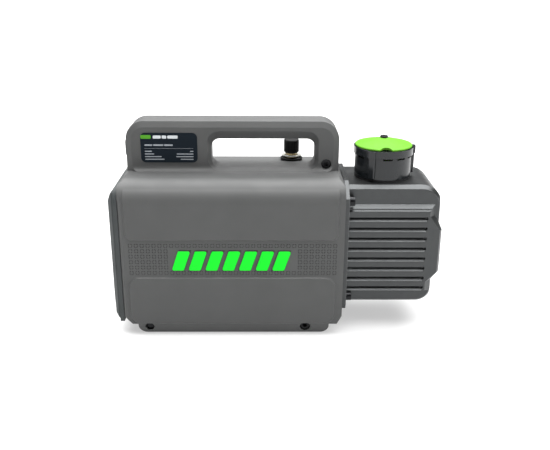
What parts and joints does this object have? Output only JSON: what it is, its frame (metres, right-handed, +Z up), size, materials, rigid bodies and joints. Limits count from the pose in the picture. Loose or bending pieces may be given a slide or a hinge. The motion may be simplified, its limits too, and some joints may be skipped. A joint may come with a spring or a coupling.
{
  "type": "vacuum pump",
  "caption": "Portable rotary vane vacuum pump with a handled grey plastic housing, a finned dark oil tank and a green-lidded exhaust cap.",
  "frame": {"origin": "on the floor, under the middle of the length and depth of the whole pump", "axes": "+X from the fan end to the oil tank, -Y out of the front face with the badge, +Z up"},
  "size_m": [0.309, 0.116, 0.198],
  "materials": {
    "housing": "fine moulded texture",
    "cover": "fine moulded texture",
    "black_screw": "black oxide",
    "rubber": "matte",
    "label": "printed film",
    "badge_green": "gloss",
    "black_plastic": "moulded",
    "rocker": "moulded",
    "lamination": "stacked sheet",
    "copper": "enamelled",
    "cast_aluminium": "as cast",
    "steel": "machined",
    "capacitor": "smooth",
    "tank_paint": "semi-gloss paint on a casting",
    "cast_iron": "ground",
    "vane": "carbon composite",
    "glass": "clear",
    "cap_plastic": "satin",
    "lid_green": "satin",
    "felt": "felt",
    "brass": "machined",
    "washer": "translucent"
  },
  "bodies": {
    "body": {"front_shell": "housing", "rear_shell": "housing", "end_cover": "cover", "fan_end_screws": "black_screw", "shell_screws": "black_screw", "shell_nuts": "black_screw", "rubber_feet": "rubber", "rating_label": "label", "badge_bars": "badge_green", "power_inlet": "black_plastic", "power_inlet_pins": "brass", "switch_frame": "black_plastic", "stator_core": "lamination", "stator_winding": "copper", "rear_end_bell": "cast_aluminium", "front_bracket": "cast_aluminium", "tie_bolts": "steel", "rear_bearing_outer_ring": "steel", "front_bearing_outer_ring": "steel", "run_capacitor": "capacitor", "capacitor_strap": "steel", "tank": "tank_paint", "tank_gasket": "rubber", "tank_bolts": "black_screw", "pump_cylinder": "cast_iron", "pump_end_plate": "cast_iron", "pump_screws": "steel", "shaft_seal": "rubber", "exhaust_reed": "steel", "reed_stop": "steel", "sight_glass": "glass", "sight_glass_ring": "tank_paint", "sight_glass_seal": "rubber", "inlet_fitting": "brass", "inlet_base_ring": "black_plastic", "inlet_washer": "washer", "suction_pipe": "copper"},
    "rotor": {"motor_shaft": "steel", "rotor_core": "lamination", "rear_bearing_inner_ring": "steel", "front_bearing_inner_ring": "steel", "cooling_fan": "black_plastic", "fan_clip": "steel", "pump_rotor": "cast_iron", "vanes": "vane"},
    "rear_ball_set": {"rear_bearing_balls": "steel"},
    "front_ball_set": {"front_bearing_balls": "steel"},
    "rocker": {"switch_rocker": "rocker"},
    "cap_lift": {"cap_gasket": "rubber"},
    "exhaust_cap": {"filter_housing": "cap_plastic", "cap_ring": "cap_plastic", "filter_element": "felt", "lid_screw": "black_screw"},
    "green_lid": {"exhaust_lid": "lid_green"},
    "inlet_lift": {"inlet_cap_seal": "rubber"},
    "inlet_cap_turn": {"inlet_cap": "black_plastic"},
    "drain_lift": {"drain_seal": "rubber"},
    "drain_turn": {"drain_plug": "steel"}
  },
  "joints": [
    {"name": "rotor_spin", "type": "hinge", "parent": "body", "child": "rotor", "pos_m": [0, 0, 0.078], "axis": [1, 0, 0], "continuous": true},
    {"name": "rear_balls_roll", "type": "hinge", "parent": "body", "child": "rear_ball_set", "pos_m": [-0.0755, 0, 0.078], "axis": [1, 0, 0], "continuous": true},
    {"name": "front_balls_roll", "type": "hinge", "parent": "body", "child": "front_ball_set", "pos_m": [0.0485, 0, 0.078], "axis": [1, 0, 0], "continuous": true},
    {"name": "rocker_switch", "type": "hinge", "parent": "body", "child": "rocker", "pos_m": [-0.138, 0, 0.1722], "axis": [0, 0, 1], "range_deg": [-20, 0]},
    {"name": "cap_rise", "type": "slide", "parent": "body", "child": "cap_lift", "axis": [0, 0, 1], "range_m": [0, 0.0075]},
    {"name": "cap_turn", "type": "hinge", "parent": "cap_lift", "child": "exhaust_cap", "pos_m": [0.1014, 0, 0.143], "axis": [0, 0, 1], "range_deg": [0, 1080]},
    {"name": "lid_turn", "type": "hinge", "parent": "exhaust_cap", "child": "green_lid", "pos_m": [0.1014, 0, 0.18], "axis": [0, 0, 1], "range_deg": [-120, 120]},
    {"name": "inlet_cap_rise", "type": "slide", "parent": "body", "child": "inlet_lift", "axis": [0, 0, 1], "range_m": [0, 0.00508]},
    {"name": "inlet_cap_turn", "type": "hinge", "parent": "inlet_lift", "child": "inlet_cap_turn", "pos_m": [0.0145, 0.027, 0.16], "axis": [0, 0, 1], "range_deg": [0, 1440]},
    {"name": "drain_drop", "type": "slide", "parent": "body", "child": "drain_lift", "axis": [0, 0, -1], "range_m": [0, 0.005]},
    {"name": "drain_turn", "type": "hinge", "parent": "drain_lift", "child": "drain_turn", "pos_m": [0.124, 0, 0.022], "axis": [0, 0, -1], "range_deg": [0, 1440]}
  ],
  "couplings": [
    {"joint": "rear_balls_roll", "follows": "rotor_spin", "ratio": 0.38},
    {"joint": "front_balls_roll", "follows": "rotor_spin", "ratio": 0.38},
    {"joint": "cap_rise", "follows": "cap_turn", "m_per_rad": 0.0003978},
    {"joint": "inlet_cap_rise", "follows": "inlet_cap_turn", "m_per_rad": 0.000202},
    {"joint": "drain_drop", "follows": "drain_turn", "m_per_rad": 0.0001988}
  ]
}
